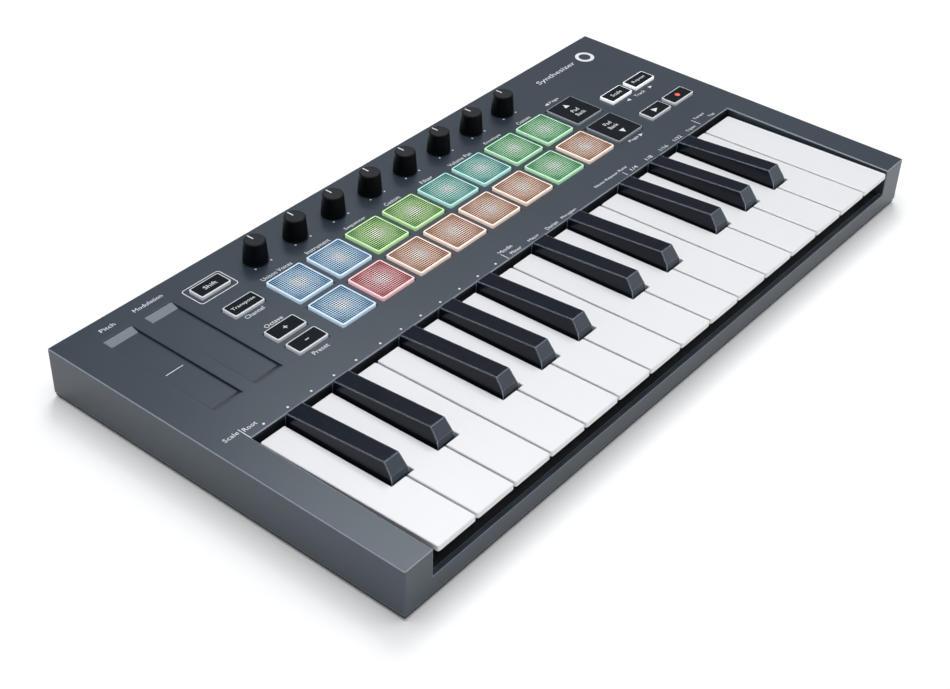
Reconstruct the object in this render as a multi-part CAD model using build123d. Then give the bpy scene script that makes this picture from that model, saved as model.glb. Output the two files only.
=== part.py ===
"""Compact 25-key keyboard controller, drawn as separate pieces.

Units are millimetres.  X runs along the keyboard, Y to the back, Z up.
The origin is on the table, in the middle of the case footprint.
"""
import os

from build123d import *

os.makedirs("parts", exist_ok=True)

# --- case -------------------------------------------------------------
CASE_W = 330.0          # along the keyboard
CASE_D = 172.0          # front to back
PANEL_Z = 22.4          # top face of the control panel
SHELL_Z = 2.4           # lower edge of the top shell walls
WALL = 2.2
PANEL_T = 2.4
FOOT_H = 0.8
TRAY_Z = 1.9            # top of the bottom shell's visible edge
TRAY_FLOOR = 2.3        # inner floor of the bottom shell
TRAY_LIP_Z = 5.2        # top of its locating wall
TRAY_INSET = 0.3        # bottom shell edge inside the side faces
LINE_INSET = 1.2        # shadow line between the shells
SIDE_CORNER = 0.6       # rounding of the upright case edges
TOP_EDGE = 0.45         # rounding of the panel's outer edge
RAIL_Z = PANEL_Z - 12.1  # top of the low rail under the key fronts

# --- key opening ------------------------------------------------------
OPEN_HALF = 151.2
OPEN_BACK = -4.6
FRONT = -CASE_D / 2
BACK = CASE_D / 2

# --- keys -------------------------------------------------------------
WHITE_PITCH = 19.96
WHITE_GAP = 0.8
WHITE_FRONT = -86.4
WHITE_BACK = -6.4
WHITE_T = 2.2
WHITE_DROP_FRONT = 0.3   # key top below the panel at its front edge
WHITE_DROP_BACK = 2.4    # and at its back edge
NOTCH_W = 11.2
NOTCH_FRONT = -55.9
BLACK_BASE_W = 8.8
BLACK_TOP_W = 7.4
HINGE_Y = 4.0
HINGE_Z = PANEL_Z - 9.0
ROD_R = 1.2
KEY_BORE_R = 1.25
HUB_R = 3.0
RIB_W = 6.0

# --- control panel grid -----------------------------------------------
GRID = 22.15
COL0 = -75.8             # first pad column
ROW_FRONT = 23.4
ROW_BACK = 45.55
PAD = 18.8
PAD_RISE = 1.15
PAD_CORNER = 1.2
CLEARANCE = 0.6          # hole size beyond the pad or button in it
HOLE_CORNER = 0.5
BIG_BUTTON = 18.6
SMALL_W = 15.4
SMALL_D = 7.9
BUTTON_RISE = 1.1
PRESS = 0.7              # button travel
KNOB_Y = 69.4
KNOB_R_BASE = 5.2
KNOB_R_TOP = 4.5
KNOB_TOP = 9.8           # knob top above the panel
STEM_R = 2.0
STRIP_W = 13.5
STRIP_L = 59.0
STRIP_Y = 44.5
STRIP_DEPTH = 0.9
STRIP_RAMP_BACK = 4.4
STRIP_RAMP_FRONT = 2.6

# --- boards -----------------------------------------------------------
BOARD_TOP = PANEL_Z - 7.0
BOARD_T = 1.6
FRAME_TOP = PANEL_Z - 13.0
FRAME_T = 1.8
SWITCH_H = 1.5


def block(x0, x1, y0, y1, z0, z1):
    """Box given by its six face positions."""
    centre = ((x0 + x1) / 2, (y0 + y1) / 2, (z0 + z1) / 2)
    return Pos(*centre) * Box(x1 - x0, y1 - y0, z1 - z0)


def column(x, y, z0, z1, radius):
    """Upright cylinder from z0 to z1."""
    return Pos(x, y, (z0 + z1) / 2) * Cylinder(radius, z1 - z0)


def tile(x, y, w, d, z0, z1, corner):
    """Upright block with rounded corners."""
    outline = Pos(x, y, z0) * RectangleRounded(w, d, corner)
    return extrude(outline, amount=z1 - z0, dir=(0, 0, 1))


def side_profile(points, x, width):
    """Prism whose side view (y, z) is a polygon, centred on x."""
    corners = [(x - width / 2, y, z) for y, z in points]
    face = make_face(Polyline(*corners, close=True))
    return extrude(face, amount=width, dir=(1, 0, 0))


def rod_along_x(x0, x1, y, z, radius):
    """Cylinder lying along X."""
    place = Pos((x0 + x1) / 2, y, z) * Rot(0, 90, 0)
    return place * Cylinder(radius, x1 - x0)


def save(piece, name):
    """Write one piece as its own file."""
    piece.label = name
    export_step(piece, f"parts/{name}.step")


# --- where the controls sit -------------------------------------------
COLUMNS = [COL0 + GRID * i for i in range(9)]
PAD_CENTRES = [(x, y) for y in (ROW_BACK, ROW_FRONT) for x in COLUMNS[:8]]
KNOB_XS = [COLUMNS[i] for i in range(8)]
BIG_BUTTONS = {
    "button_page_up": (COLUMNS[8], ROW_BACK),
    "button_page_down": (COLUMNS[8], ROW_FRONT),
}
SMALL_BUTTONS = {
    "button_shift": (-100.0, 69.5),
    "button_transpose": (-100.0, 51.4),
    "button_octave_up": (-100.0, 29.5),
    "button_octave_down": (-100.0, 18.4),
    "button_scale": (126.5, 40.2),
    "button_note_repeat": (144.6, 40.2),
    "button_play": (126.5, 18.5),
    "button_record": (144.6, 18.5),
}
STRIP_XS = (-142.6, -122.8)
SCREWS = [(-158.8, 78.5), (158.8, 78.5), (-158.8, 4.0), (158.8, 4.0),
          (-158.0, -78.0), (158.0, -78.0), (-60.0, 81.4), (45.0, 81.4)]
FEET = [(-148.0, 70.0), (148.0, 70.0), (-148.0, -70.0), (148.0, -70.0)]
BOARD_PEGS = [(-153.0, 60.0), (153.0, 60.0), (-153.0, 29.0), (153.0, 29.0),
              (-111.6, 60.0), (-111.6, 24.0), (114.7, 60.0), (114.7, 29.0)]

# --- the octave layout ------------------------------------------------
WHITE_NAMES = ["c", "d", "e", "f", "g", "a", "b"]
BLACK_NAMES = {0: "c_sharp", 1: "d_sharp", 3: "f_sharp", 4: "g_sharp", 5: "a_sharp"}
BLACK_SHIFT = {0: -1.9, 1: 1.9, 3: -2.3, 4: 0.3, 5: 2.9}
WHITE_EDGES = [WHITE_PITCH * (i - 7.5) for i in range(16)]
BLACK_KEYS = []
for boundary in range(1, 15):
    step = (boundary - 1) % 7
    if step in BLACK_NAMES:
        octave = 1 + (boundary - 1) // 7
        centre_x = WHITE_EDGES[boundary] + BLACK_SHIFT[step]
        BLACK_KEYS.append((f"key_{BLACK_NAMES[step]}_{octave}", centre_x))

# --- rear sockets -----------------------------------------------------
SOCKET_Z = 8.6
USB_X, USB_W, USB_H = -118.0, 8.45, 7.78
SUSTAIN_X, SUSTAIN_R = -92.0, 3.25
MIDI_X, MIDI_R = -74.0, 1.8
LOCK_X = 150.0

# ======================================================================
# Top shell: panel, four walls, key opening, low front rail
# ======================================================================
top_shell = block(-CASE_W / 2, CASE_W / 2, FRONT, BACK, SHELL_Z, PANEL_Z)
top_shell = fillet(top_shell.edges().filter_by(Axis.Z), SIDE_CORNER)
top_shell = fillet(top_shell.edges().group_by(Axis.Z)[-1], TOP_EDGE)
top_shell -= block(-CASE_W / 2 + WALL, CASE_W / 2 - WALL, FRONT + WALL, BACK - WALL,
                   SHELL_Z - 1, PANEL_Z - PANEL_T)
top_shell -= block(-OPEN_HALF, OPEN_HALF, FRONT - 1, OPEN_BACK, RAIL_Z, PANEL_Z + 1)
opening_rim = [edge for edge in top_shell.edges()
               if abs(edge.center().Z - PANEL_Z) < 0.01
               and (abs(abs(edge.center().X) - OPEN_HALF) < 0.01
                    or abs(edge.center().Y - OPEN_BACK) < 0.01)]
top_shell = chamfer(opening_rim, 0.3)
for side in (-1, 1):
    inner = side * OPEN_HALF
    outer = side * (OPEN_HALF + 2.0)
    top_shell += block(min(inner, outer), max(inner, outer), FRONT + WALL - 0.5,
                       OPEN_BACK + 2.0, 6.0, PANEL_Z - PANEL_T)
for x, y in SCREWS:
    top_shell += column(x, y, SHELL_Z + 0.6, PANEL_Z - PANEL_T, 2.8)
for x, y in BOARD_PEGS:
    top_shell += column(x, y, BOARD_TOP, PANEL_Z - PANEL_T, 2.0)
for x, y in SCREWS:
    top_shell -= column(x, y, SHELL_Z - 1, SHELL_Z + 12.0, 1.3)
for x, y in PAD_CENTRES:
    top_shell -= tile(x, y, PAD + CLEARANCE, PAD + CLEARANCE, PANEL_Z - 3, PANEL_Z + 1,
                      HOLE_CORNER)
for x, y in BIG_BUTTONS.values():
    top_shell -= tile(x, y, BIG_BUTTON + CLEARANCE, BIG_BUTTON + CLEARANCE, PANEL_Z - 3,
                      PANEL_Z + 1, HOLE_CORNER)
for x, y in SMALL_BUTTONS.values():
    top_shell -= tile(x, y, SMALL_W + CLEARANCE, SMALL_D + CLEARANCE, PANEL_Z - 3,
                      PANEL_Z + 1, HOLE_CORNER)
for x in KNOB_XS:
    top_shell -= column(x, KNOB_Y, PANEL_Z - 3, PANEL_Z + 1, 3.6)
for x in STRIP_XS:
    top_shell -= block(x - STRIP_W / 2 - 0.1, x + STRIP_W / 2 + 0.1,
                       STRIP_Y - STRIP_L / 2 - 0.1, STRIP_Y + STRIP_L / 2 + 0.1,
                       PANEL_Z - PANEL_T + 0.6, PANEL_Z + 1)
top_shell -= block(USB_X - 6.1, USB_X + 6.1, BACK - WALL - 1, BACK + 1,
                   SOCKET_Z - 5.4, SOCKET_Z + 5.4)
top_shell -= Pos(SUSTAIN_X, BACK, SOCKET_Z) * Rot(90, 0, 0) * Cylinder(4.6, 8)
top_shell -= Pos(MIDI_X, BACK, SOCKET_Z) * Rot(90, 0, 0) * Cylinder(3.1, 8)
top_shell -= block(LOCK_X - 3.5, LOCK_X + 3.5, BACK - WALL - 1, BACK + 1, 8.0, 11.0)
save(top_shell, "top_shell")

# ======================================================================
# Bottom shell: tray with a recessed shadow line, locating wall and posts
# ======================================================================
bottom_shell = block(-CASE_W / 2 + TRAY_INSET, CASE_W / 2 - TRAY_INSET, FRONT + TRAY_INSET,
                     BACK - TRAY_INSET, FOOT_H, TRAY_Z)
bottom_shell = fillet(bottom_shell.edges().filter_by(Axis.Z), SIDE_CORNER)
bottom_shell = fillet(bottom_shell.edges().group_by(Axis.Z)[0], 0.3)
bottom_shell += block(-CASE_W / 2 + LINE_INSET, CASE_W / 2 - LINE_INSET, FRONT + LINE_INSET,
                      BACK - LINE_INSET, TRAY_Z - 0.1, SHELL_Z - 0.05)
upstand = WALL + 0.15
bottom_shell += block(-CASE_W / 2 + upstand, CASE_W / 2 - upstand, FRONT + upstand,
                      BACK - upstand, TRAY_Z, TRAY_LIP_Z)
rim = upstand + 1.4
bottom_shell -= block(-CASE_W / 2 + rim, CASE_W / 2 - rim, FRONT + rim, BACK - rim,
                      TRAY_FLOOR, TRAY_LIP_Z + 1)
bottom_shell -= block(USB_X - 8, SUSTAIN_X + 24, BACK - 5, BACK - upstand + 1,
                      TRAY_FLOOR + 0.3, TRAY_LIP_Z + 1)
for x in (-120.0, -40.0, 40.0, 120.0):
    for y in (-70.0, -35.0, 0.0):
        bottom_shell += column(x, y, TRAY_Z, FRAME_TOP - FRAME_T, 3.0)
for x in (-140.0, -30.0, 30.0, 140.0):
    bottom_shell += column(x, 30.0, TRAY_Z, BOARD_TOP - BOARD_T, 3.0)
for x, y in SCREWS:
    bottom_shell -= column(x, y, 0.0, TRAY_LIP_Z + 1, 1.6)
    bottom_shell -= column(x, y, 0.0, FOOT_H + 1.0, 2.9)
    bottom_shell -= column(x, y, TRAY_FLOOR, TRAY_LIP_Z + 1, 3.1)
for x, y in FEET:
    bottom_shell -= column(x, y, 0.0, FOOT_H + 0.6, 6.05)
save(bottom_shell, "bottom_shell")

# ======================================================================
# Fasteners and feet
# ======================================================================
screw_group = []
for x, y in SCREWS:
    screw = column(x, y, FOOT_H + 0.1, FOOT_H + 1.0, 2.7)
    screw += column(x, y, FOOT_H + 0.9, 12.0, 1.25)
    screw -= block(x - 1.7, x + 1.7, y - 0.35, y + 0.35, 0.0, FOOT_H + 0.6)
    screw -= block(x - 0.35, x + 0.35, y - 1.7, y + 1.7, 0.0, FOOT_H + 0.6)
    screw_group.append(screw.solid())
save(Compound(children=screw_group), "case_screws")

foot_group = []
for x, y in FEET:
    foot = column(x, y, 0.0, FOOT_H + 0.6, 6.0)
    foot = fillet(foot.edges().group_by(Axis.Z)[0], 0.4)
    foot_group.append(foot.solid())
save(Compound(children=foot_group), "rubber_feet")

# ======================================================================
# Key bed: chassis, hinge rod, contact board, dome strip, stop felt
# ======================================================================
key_frame = block(-150.6, 150.6, FRONT + WALL + 0.3, 7.5, FRAME_TOP - FRAME_T, FRAME_TOP)
POST_XS = [-148.9, WHITE_EDGES[3], WHITE_EDGES[7], WHITE_EDGES[10], WHITE_EDGES[14] + 0.4,
           148.9]
for x in POST_XS:
    key_frame += block(x - 1.3, x + 1.3, 1.2, 6.8, FRAME_TOP - 0.2, HINGE_Z + 2.6)
key_frame -= rod_along_x(-152, 152, HINGE_Y, HINGE_Z, ROD_R + 0.05)
save(key_frame, "key_frame")

hinge_rod = rod_along_x(-150.4, 150.4, HINGE_Y, HINGE_Z, ROD_R)
save(hinge_rod, "hinge_rod")

KEY_BOARD_TOP = FRAME_TOP + 1.6
key_board = block(-148, 148, -42, -18, FRAME_TOP, KEY_BOARD_TOP)
save(key_board, "key_board")

stop_felt = block(-148, 148, -80, -72, FRAME_TOP, FRAME_TOP + 1.2)
save(stop_felt, "key_stop_felt")


# ======================================================================
# Keys: sloping top, rib below, tongue under the panel, bore on the rod
# ======================================================================
def hinge_end(x):
    """Rib, tongue and hub that every key shares."""
    z = PANEL_Z
    rib = side_profile([(-78.0, z - 2.2), (-78.0, z - 6.2), (-14.0, z - 6.4),
                        (-6.0, z - 9.4), (HINGE_Y, z - 12.0), (HINGE_Y, z - 6.0),
                        (-6.0, z - 4.2), (-8.0, z - 3.4)], x, RIB_W)
    return rib + rod_along_x(x - RIB_W / 2, x + RIB_W / 2, HINGE_Y, HINGE_Z, HUB_R)


def top_height(y):
    """Height of the white key surface at y."""
    share = (y - WHITE_BACK) / (WHITE_FRONT - WHITE_BACK)
    return PANEL_Z - WHITE_DROP_BACK + share * (WHITE_DROP_BACK - WHITE_DROP_FRONT)


def white_key(left, right, notch_left, notch_right):
    """Moulded white key between two gap centres, cut round its black keys."""
    x0 = left + WHITE_GAP / 2
    x1 = right - WHITE_GAP / 2
    plan = tile((x0 + x1) / 2, (WHITE_FRONT + WHITE_BACK) / 2, x1 - x0,
                WHITE_BACK - WHITE_FRONT, PANEL_Z - 6, PANEL_Z + 1, 0.9)
    neck0, neck1 = x0, x1
    if notch_left is not None:
        neck0 = notch_left + NOTCH_W / 2
        plan -= block(x0 - 1, neck0, NOTCH_FRONT, WHITE_BACK + 1, PANEL_Z - 9, PANEL_Z + 3)
    if notch_right is not None:
        neck1 = notch_right - NOTCH_W / 2
        plan -= block(neck1, x1 + 1, NOTCH_FRONT, WHITE_BACK + 1, PANEL_Z - 9, PANEL_Z + 3)
    yb, yf = WHITE_BACK + 2, WHITE_FRONT - 2
    slab = side_profile([(yb, top_height(yb)), (yf, top_height(yf)),
                         (yf, top_height(yf) - WHITE_T), (yb, top_height(yb) - WHITE_T)],
                        (x0 + x1) / 2, x1 - x0 + 4)
    plate = (plan & slab).solid()
    upper = plate.faces().sort_by(Axis.Z)[-1]
    plate = fillet(upper.edges(), 0.45)
    centre = (neck0 + neck1) / 2
    rib = hinge_end(centre)
    rib -= side_profile([(yb + 9, top_height(yb) - 0.9), (yf, top_height(yf) - 0.9),
                         (yf, PANEL_Z + 9), (yb + 9, PANEL_Z + 9)], centre, RIB_W + 2)
    key = plate + rib
    key -= rod_along_x(centre - 6, centre + 6, HINGE_Y, HINGE_Z, KEY_BORE_R)
    return key.solid(), centre


def black_key(x):
    """Raised black key with tapered sides and a sloping front facet."""
    z = PANEL_Z
    body = side_profile([(-5.6, z - 6.0), (-5.6, z + 1.6), (-51.0, z + 5.4),
                         (-54.3, z + 0.9), (-55.0, z - 1.2), (-55.0, z - 6.0)],
                        x, BLACK_BASE_W)
    for side in (-1, 1):
        base = x + side * BLACK_BASE_W / 2
        top = x + side * BLACK_TOP_W / 2
        away = x + side * BLACK_BASE_W
        wedge = make_face(Polyline((base, -60, z - 1.2), (top, -60, z + 5.6),
                                   (away, -60, z + 5.6), (away, -60, z - 1.2), close=True))
        body -= extrude(wedge, amount=60, dir=(0, 1, 0))
    crisp = [edge for edge in body.edges() if edge.center().Z > z + 0.95]
    body = fillet(crisp, 0.35)
    body -= block(x - 2.9, x + 2.9, -49.0, -10.0, z - 7.0, z - 0.4)
    tongue = hinge_end(x)
    tongue -= block(x - 9, x + 9, -90, -9.0, z - 15, z + 5)
    key = body + tongue
    key -= rod_along_x(x - 6, x + 6, HINGE_Y, HINGE_Z, KEY_BORE_R)
    return key.solid()


dome_xs = []
for i in range(15):
    left, right = WHITE_EDGES[i], WHITE_EDGES[i + 1]
    inside = [x for _, x in BLACK_KEYS if left - 6 < x < right + 6]
    notch_left = next((x for x in inside if abs(x - left) < 5), None)
    notch_right = next((x for x in inside if abs(x - right) < 5), None)
    key, centre = white_key(left, right, notch_left, notch_right)
    dome_xs.append(centre)
    save(key, f"key_{WHITE_NAMES[i % 7]}_{1 + i // 7}")
for name, x in BLACK_KEYS:
    dome_xs.append(x)
    save(black_key(x), name)

contact_strip = block(-147, 147, -38, -22, KEY_BOARD_TOP, KEY_BOARD_TOP + 1.0)
for x in dome_xs:
    contact_strip += column(x, -30.0, KEY_BOARD_TOP + 0.8, KEY_BOARD_TOP + 2.0, 2.6)
save(contact_strip, "key_contact_strip")

# ======================================================================
# Control board with what is soldered to it
# ======================================================================
control_board = block(-156, 156, 9.0, 78.0, BOARD_TOP - BOARD_T, BOARD_TOP)
save(control_board, "control_board")

pots = []
for x in KNOB_XS:
    pot = block(x - 4.8, x + 4.8, KNOB_Y - 5.5, KNOB_Y + 5.5, BOARD_TOP, PANEL_Z - 2.9)
    pot += column(x, KNOB_Y, BOARD_TOP + 1, PANEL_Z + 0.2, 3.4)
    pot -= column(x, KNOB_Y, BOARD_TOP + 1.0, PANEL_Z + 1, STEM_R + 0.05)
    pots.append(pot.solid())
save(Compound(children=pots), "potentiometers")

switches = []
for x, y in list(BIG_BUTTONS.values()) + list(SMALL_BUTTONS.values()):
    switch = block(x - 3.0, x + 3.0, y - 3.0, y + 3.0, BOARD_TOP, BOARD_TOP + 0.9)
    switch += column(x, y, BOARD_TOP + 0.8, BOARD_TOP + SWITCH_H, 1.6)
    switches.append(switch.solid())
save(Compound(children=switches), "button_switches")

pad_mat = block(-88.0, 90.3, 11.5, 57.5, BOARD_TOP, BOARD_TOP + 1.0)
for x, y in PAD_CENTRES:
    pad_mat += tile(x, y, PAD + 1.8, PAD + 1.8, BOARD_TOP + 0.9, PANEL_Z - 3.0, 2.0)
    pad = tile(x, y, PAD, PAD, PANEL_Z - 3.2, PANEL_Z + PAD_RISE, PAD_CORNER)
    pad = fillet(pad.edges().group_by(Axis.Z)[-1], 0.5)
    pad_mat += pad
save(pad_mat, "pad_mat")

# ======================================================================
# Touch strips: shallow channels with a long ramp at the back and a short one in front
# ======================================================================
strips = []
for x in STRIP_XS:
    front = STRIP_Y - STRIP_L / 2
    back = STRIP_Y + STRIP_L / 2
    low = PANEL_Z - PANEL_T + 0.6
    rim_z = PANEL_Z - 0.1
    track_z = PANEL_Z - STRIP_DEPTH
    strip = side_profile([(front, low), (front, rim_z), (front + 0.3, rim_z),
                          (front + STRIP_RAMP_FRONT, track_z), (back - STRIP_RAMP_BACK, track_z),
                          (back - 0.4, rim_z), (back, rim_z), (back, low)],
                         x, STRIP_W)
    strips.append(strip.solid())
save(Compound(children=strips), "touch_strips")


# ======================================================================
# Buttons and knobs
# ======================================================================
def button(x, y, w, d, corner):
    """Push button with a retaining flange and a stem over its switch."""
    cap = tile(x, y, w, d, PANEL_Z - 3.0, PANEL_Z + BUTTON_RISE, corner)
    cap = fillet(cap.edges().group_by(Axis.Z)[-1], 0.35)
    cap += tile(x, y, w + 1.8, d + 1.8, PANEL_Z - 3.5, PANEL_Z - 2.7, corner + 0.3)
    cap += column(x, y, BOARD_TOP + SWITCH_H + PRESS + 0.3, PANEL_Z - 3.4, 2.0)
    return cap


for name, (x, y) in BIG_BUTTONS.items():
    save(button(x, y, BIG_BUTTON, BIG_BUTTON, 1.5), name)
for name, (x, y) in SMALL_BUTTONS.items():
    save(button(x, y, SMALL_W, SMALL_D, 1.0), name)

for number, x in enumerate(KNOB_XS, start=1):
    base = Pos(x, KNOB_Y, PANEL_Z + 0.5) * Circle(KNOB_R_BASE)
    crown = Pos(x, KNOB_Y, PANEL_Z + KNOB_TOP) * Circle(KNOB_R_TOP)
    knob = loft([base, crown])
    knob = fillet(knob.edges().group_by(Axis.Z)[-1], 0.4)
    knob -= column(x, KNOB_Y, PANEL_Z, PANEL_Z + 3.5, 4.1)
    knob += column(x, KNOB_Y, BOARD_TOP + 1.3, PANEL_Z + 4.0, STEM_R)
    save(knob, f"knob_{number}")

# ======================================================================
# Rear sockets, under the back edge of the control board
# ======================================================================
usb = block(USB_X - 6.0, USB_X + 6.0, 69.0, BACK - 0.2, SOCKET_Z - 5.2, SOCKET_Z + 5.1)
usb -= block(USB_X - USB_W / 2, USB_X + USB_W / 2, 74.0, BACK + 1, SOCKET_Z - USB_H / 2,
             SOCKET_Z + USB_H / 2)
usb += block(USB_X - 2.8, USB_X + 2.8, 73.0, 79.5, SOCKET_Z - 1.6, SOCKET_Z + 1.6)
save(usb, "usb_socket")

sustain = block(SUSTAIN_X - 6.5, SUSTAIN_X + 6.5, 62.0, BACK - WALL - 0.1,
                SOCKET_Z - 5.2, SOCKET_Z + 5.1)
sustain += Pos(SUSTAIN_X, BACK - 1.5, SOCKET_Z) * Rot(90, 0, 0) * Cylinder(4.4, 4.0)
sustain -= Pos(SUSTAIN_X, BACK - 9.0, SOCKET_Z) * Rot(90, 0, 0) * Cylinder(SUSTAIN_R, 26.0)
save(sustain, "sustain_jack")

midi = block(MIDI_X - 4.0, MIDI_X + 4.0, 70.0, BACK - WALL - 0.1, SOCKET_Z - 3.5,
             SOCKET_Z + 5.1)
midi += Pos(MIDI_X, BACK - 1.5, SOCKET_Z) * Rot(90, 0, 0) * Cylinder(2.9, 3.6)
midi -= Pos(MIDI_X, BACK - 6.0, SOCKET_Z) * Rot(90, 0, 0) * Cylinder(MIDI_R, 18.0)
save(midi, "midi_jack")
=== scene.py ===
import math
import bpy
import bmesh
from mathutils import Matrix, Vector


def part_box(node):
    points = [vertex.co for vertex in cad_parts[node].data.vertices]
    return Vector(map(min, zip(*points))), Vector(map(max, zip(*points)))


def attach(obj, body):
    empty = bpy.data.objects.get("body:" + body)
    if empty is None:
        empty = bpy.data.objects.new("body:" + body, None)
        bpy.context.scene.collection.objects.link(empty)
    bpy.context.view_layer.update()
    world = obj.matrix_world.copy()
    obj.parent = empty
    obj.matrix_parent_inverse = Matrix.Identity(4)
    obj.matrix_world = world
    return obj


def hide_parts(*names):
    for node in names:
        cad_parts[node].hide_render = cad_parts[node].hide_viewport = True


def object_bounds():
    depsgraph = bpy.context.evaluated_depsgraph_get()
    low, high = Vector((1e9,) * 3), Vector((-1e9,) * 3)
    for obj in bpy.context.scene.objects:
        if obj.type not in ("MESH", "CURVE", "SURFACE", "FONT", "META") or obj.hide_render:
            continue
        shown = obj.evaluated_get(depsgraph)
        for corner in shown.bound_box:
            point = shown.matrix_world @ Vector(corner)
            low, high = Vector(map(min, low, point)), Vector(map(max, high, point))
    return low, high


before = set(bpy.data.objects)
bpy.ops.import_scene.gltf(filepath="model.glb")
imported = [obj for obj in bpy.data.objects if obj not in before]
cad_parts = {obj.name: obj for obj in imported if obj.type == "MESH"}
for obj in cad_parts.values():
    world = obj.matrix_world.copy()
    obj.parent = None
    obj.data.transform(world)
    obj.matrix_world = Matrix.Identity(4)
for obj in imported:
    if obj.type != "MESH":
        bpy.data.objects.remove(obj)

cad_box = [list(corner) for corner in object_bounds()]
MM = 0.001

# ---------------------------------------------------------------- top shell
# The upper half of the case: one ABS moulding in slate grey with a fine spark-eroded
# texture, the panel, the two cheeks beside the keys and the side walls in one piece.
# It sits over the bottom shell and is held by screws from below.


def new_material(name):
    """A material with an empty node tree but for its shader and output."""
    material = bpy.data.materials.new(name)
    material.use_nodes = True
    nodes = material.node_tree.nodes
    nodes.clear()
    output = nodes.new("ShaderNodeOutputMaterial")
    output.location = (600, 0)
    shader = nodes.new("ShaderNodeBsdfPrincipled")
    shader.location = (300, 0)
    material.node_tree.links.new(shader.outputs["BSDF"], output.inputs["Surface"])
    return material, shader


def add_node(material, kind, **settings):
    """A new node with its settings, or the sockets of those names, given values."""
    node = material.node_tree.nodes.new(kind)
    for key, value in settings.items():
        if hasattr(node, key):
            setattr(node, key, value)
        else:
            node.inputs[key.replace("_", " ")].default_value = value
    return node


def join(material, source, target):
    """Links one socket to another."""
    material.node_tree.links.new(source, target)


def object_coordinates(material, scale=(1.0, 1.0, 1.0)):
    """The place on the part, in metres, that patterns are drawn from."""
    coordinates = add_node(material, "ShaderNodeTexCoord")
    mapping = add_node(material, "ShaderNodeMapping")
    mapping.inputs["Scale"].default_value = scale
    join(material, coordinates.outputs["Object"], mapping.inputs["Vector"])
    return mapping.outputs["Vector"]


def linear(red, green, blue):
    """A colour given as it is seen, 0 to 255, as the shader's linear values."""
    def channel(value):
        value /= 255.0
        return value / 12.92 if value <= 0.04045 else ((value + 0.055) / 1.055) ** 2.4
    return (channel(red), channel(green), channel(blue), 1.0)


def join_chain(material, first, second, operation="MULTIPLY"):
    """Combines two values with one maths node."""
    node = add_node(material, "ShaderNodeMath", operation=operation)
    join(material, first, node.inputs[0])
    join(material, second, node.inputs[1])
    return node.outputs["Value"]


def outer_edges(material, vector):
    """1 near the case's outline and round the key opening, 0 round the holes in the panel: where the painted
    edge highlight goes.
    """
    parts = add_node(material, "ShaderNodeSeparateXYZ")
    join(material, vector, parts.inputs["Vector"])
    side_edge, front_edge, back_edge = 157.5 * MM, 2.0 * MM, 83.0 * MM
    side = add_node(material, "ShaderNodeMath", operation="ABSOLUTE")
    join(material, parts.outputs["X"], side.inputs[0])
    near = []
    for source, operation, limit in ((side.outputs["Value"], "GREATER_THAN", side_edge),
                                     (parts.outputs["Y"], "LESS_THAN", front_edge),
                                     (parts.outputs["Y"], "GREATER_THAN", back_edge)):
        test = add_node(material, "ShaderNodeMath", operation=operation)
        join(material, source, test.inputs[0])
        test.inputs[1].default_value = limit
        near.append(test.outputs["Value"])
    return join_chain(material, join_chain(material, near[0], near[1], "MAXIMUM"), near[2], "MAXIMUM")


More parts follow.
